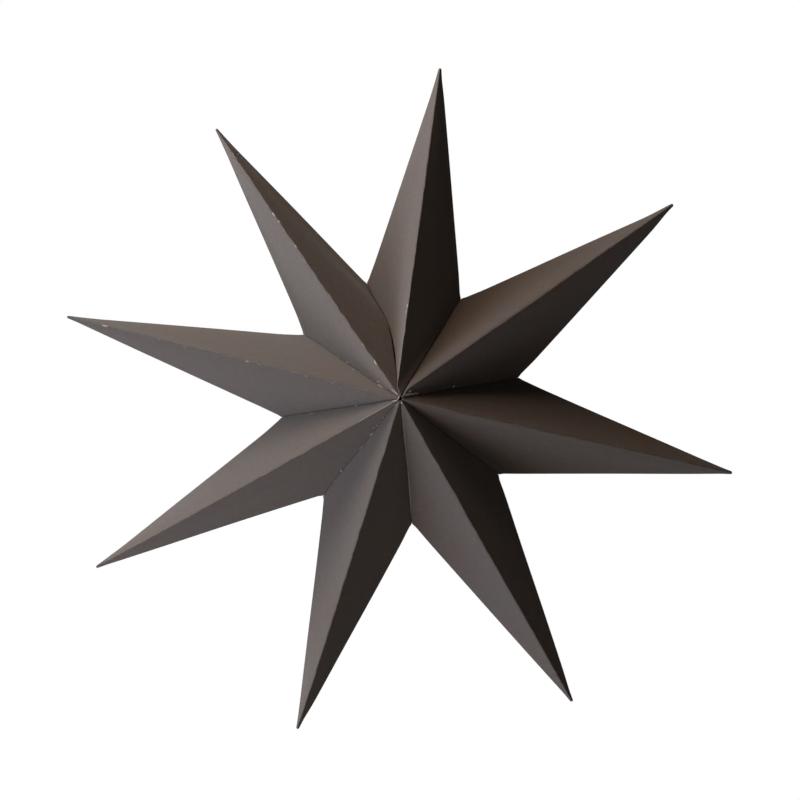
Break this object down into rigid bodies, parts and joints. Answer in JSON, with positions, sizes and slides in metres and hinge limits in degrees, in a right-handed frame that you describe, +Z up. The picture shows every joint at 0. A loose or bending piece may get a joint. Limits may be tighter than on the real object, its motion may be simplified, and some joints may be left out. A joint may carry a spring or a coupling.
{
  "type": "paper star ornament",
  "caption": "Hanging star ornament of folded and glued dark brown card, with long hollow points whose ridges meet at the centre in front and behind.",
  "frame": {"origin": "centre of the star, where the points meet", "axes": "+Z up along the top point, -Y to the front, the star's plane is XZ"},
  "size_m": [0.3006, 0.079, 0.2982],
  "materials": {
    "card": "matte"
  },
  "bodies": {
    "root": {"point_top": "card", "point_upper_left": "card", "point_left": "card", "point_lower_left": "card", "point_bottom": "card", "point_lower_right": "card", "point_right": "card", "point_upper_right": "card"}
  },
  "joints": []
}
